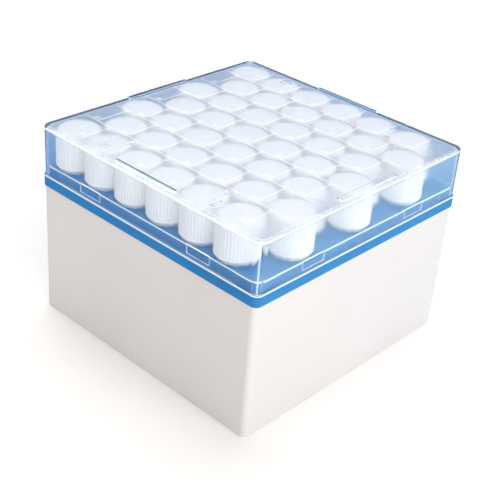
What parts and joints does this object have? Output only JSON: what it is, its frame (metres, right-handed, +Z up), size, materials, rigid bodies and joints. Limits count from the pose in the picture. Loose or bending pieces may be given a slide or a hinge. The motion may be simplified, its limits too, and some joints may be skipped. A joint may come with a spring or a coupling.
{
  "type": "tube storage box",
  "caption": "Deep square box for capped sample tubes in staggered rows, with a moulded rack and a clear lift-off lid.",
  "frame": {"origin": "centre of the footprint, on the surface the box stands on", "axes": "+Z up, +X along the rows of tubes, +Y towards row 1"},
  "size_m": [0.133, 0.133, 0.095],
  "materials": {
    "base": "satin white moulded plastic",
    "rack": "glossy blue moulded plastic",
    "lid": "clear glossy plastic with a printed white grid",
    "tubes": "milky translucent plastic",
    "caps": "satin white plastic with fine grip ribs"
  },
  "bodies": {
    "box": {"base": "base", "rack": "rack", "tubes_row_1": "tubes", "tubes_row_2": "tubes", "tubes_row_3": "tubes", "tubes_row_4": "tubes", "tubes_row_5": "tubes", "tubes_row_6": "tubes", "tubes_row_7": "tubes", "cap_01": "caps", "cap_02": "caps", "cap_03": "caps", "cap_04": "caps", "cap_05": "caps", "cap_06": "caps", "cap_07": "caps", "cap_08": "caps", "cap_09": "caps", "cap_10": "caps", "cap_11": "caps", "cap_12": "caps", "cap_13": "caps", "cap_14": "caps", "cap_15": "caps", "cap_16": "caps", "cap_17": "caps", "cap_18": "caps", "cap_19": "caps", "cap_20": "caps", "cap_21": "caps", "cap_22": "caps", "cap_23": "caps", "cap_24": "caps", "cap_25": "caps", "cap_26": "caps", "cap_27": "caps", "cap_28": "caps", "cap_29": "caps", "cap_30": "caps", "cap_31": "caps", "cap_32": "caps", "cap_33": "caps", "cap_34": "caps", "cap_35": "caps", "cap_36": "caps", "cap_37": "caps", "cap_38": "caps", "cap_39": "caps", "cap_40": "caps", "cap_41": "caps", "cap_42": "caps"},
    "lid": {"lid": "lid"}
  },
  "joints": [
    {"name": "lid_lift", "type": "slide", "parent": "box", "child": "lid", "axis": [0, 0, 1], "range_m": [0, 0.03]}
  ]
}
